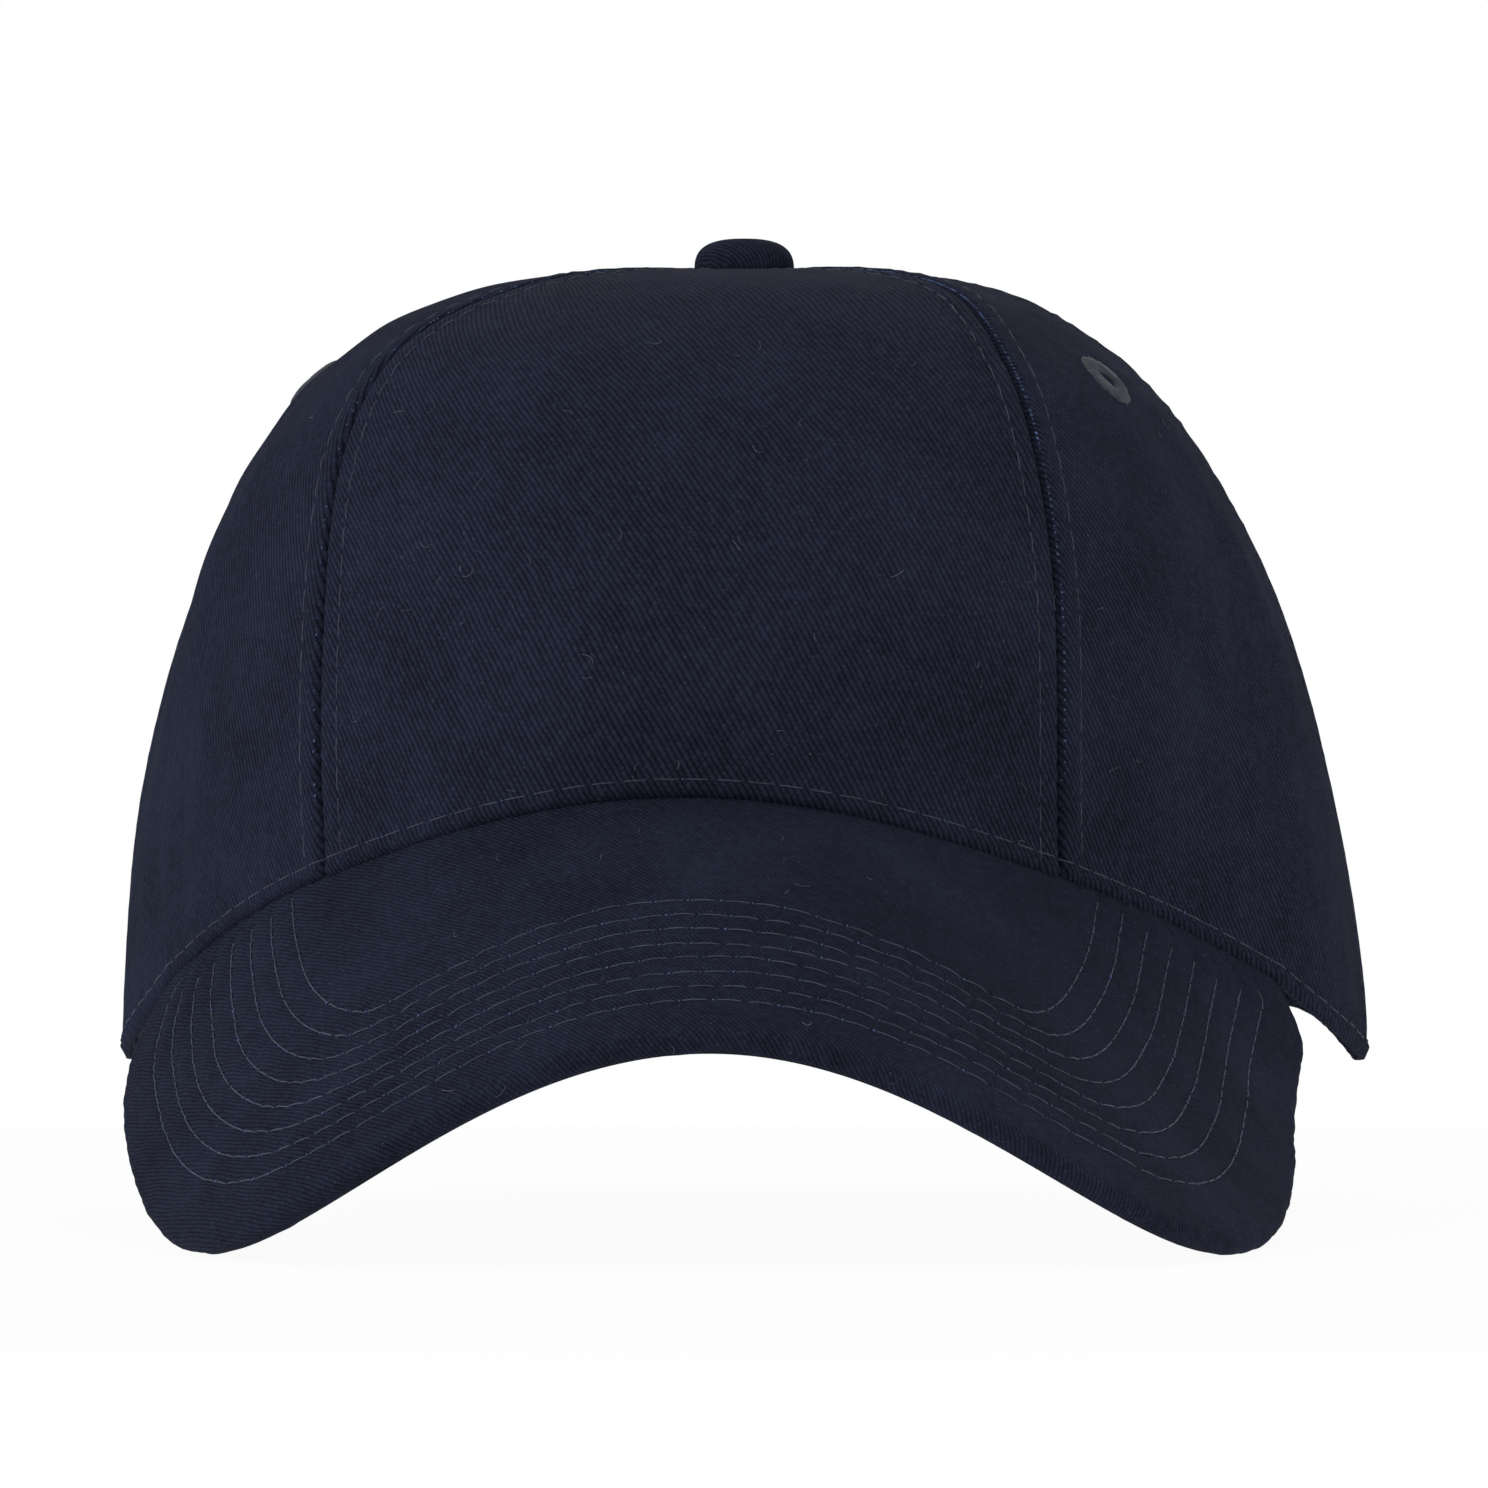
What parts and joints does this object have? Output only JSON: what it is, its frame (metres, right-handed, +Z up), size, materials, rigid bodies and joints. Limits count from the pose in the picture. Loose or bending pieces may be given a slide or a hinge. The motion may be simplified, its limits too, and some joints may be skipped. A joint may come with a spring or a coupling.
{
  "type": "baseball cap",
  "caption": "Soft cap with a rounded crown of sewn panels, a covered top button, a curved stitched visor and an adjustable rear strap with a clasp.",
  "frame": {"origin": "centre of the head opening, in the plane of the crown's lowest edge, which is at the sides; the back edge is 7 mm higher", "axes": "+Z up through the button, -Y to the front of the cap, +X to the wearer's left"},
  "size_m": [0.176, 0.2606, 0.1423],
  "materials": {
    "twill": "dark navy cotton twill, matt",
    "lining": "dark navy plain cotton tape, matt",
    "buckram": "stiff open mesh cloth, off-white",
    "thread": "embroidery thread, dark grey-blue, satin",
    "label": "woven satin, blank",
    "board": "white polyethylene sheet",
    "button_metal": "pressed, dull",
    "clasp_metal": "brushed nickel-plated steel"
  },
  "bodies": {
    "crown": {"front_panel": "twill", "left_side_panel": "twill", "right_side_panel": "twill", "left_rear_panel": "twill", "right_rear_panel": "twill", "front_buckram": "buckram", "left_front_seam_tape": "lining", "right_front_seam_tape": "lining", "left_side_seam_tape": "lining", "right_side_seam_tape": "lining", "rear_seam_tape": "lining", "sweatband": "lining", "size_label": "label", "rear_arch_binding": "lining", "visor_top_cover": "twill", "visor_board": "board", "visor_under_cover": "twill", "button_cover": "twill", "button_shell": "button_metal", "button_back": "button_metal", "button_washer": "button_metal", "left_side_eyelet": "thread", "right_side_eyelet": "thread", "left_rear_eyelet": "thread", "right_rear_eyelet": "thread", "clasp_frame": "clasp_metal", "clasp_pin": "clasp_metal", "clasp_loop": "twill"},
    "strap": {"strap": "twill"},
    "clasp_lever": {"clasp_lever": "clasp_metal"}
  },
  "joints": [
    {"name": "strap_slide", "type": "hinge", "parent": "crown", "child": "strap", "pos_m": [0, 0.017, 0.024], "axis": [0, 0, 1], "range_deg": [-18, 10]},
    {"name": "clasp_lever_hinge", "type": "hinge", "parent": "crown", "child": "clasp_lever", "pos_m": [-0.01928, 0.09374, 0.02439], "axis": [-0.042, 0.1372, -0.9897], "range_deg": [0, 95]}
  ]
}
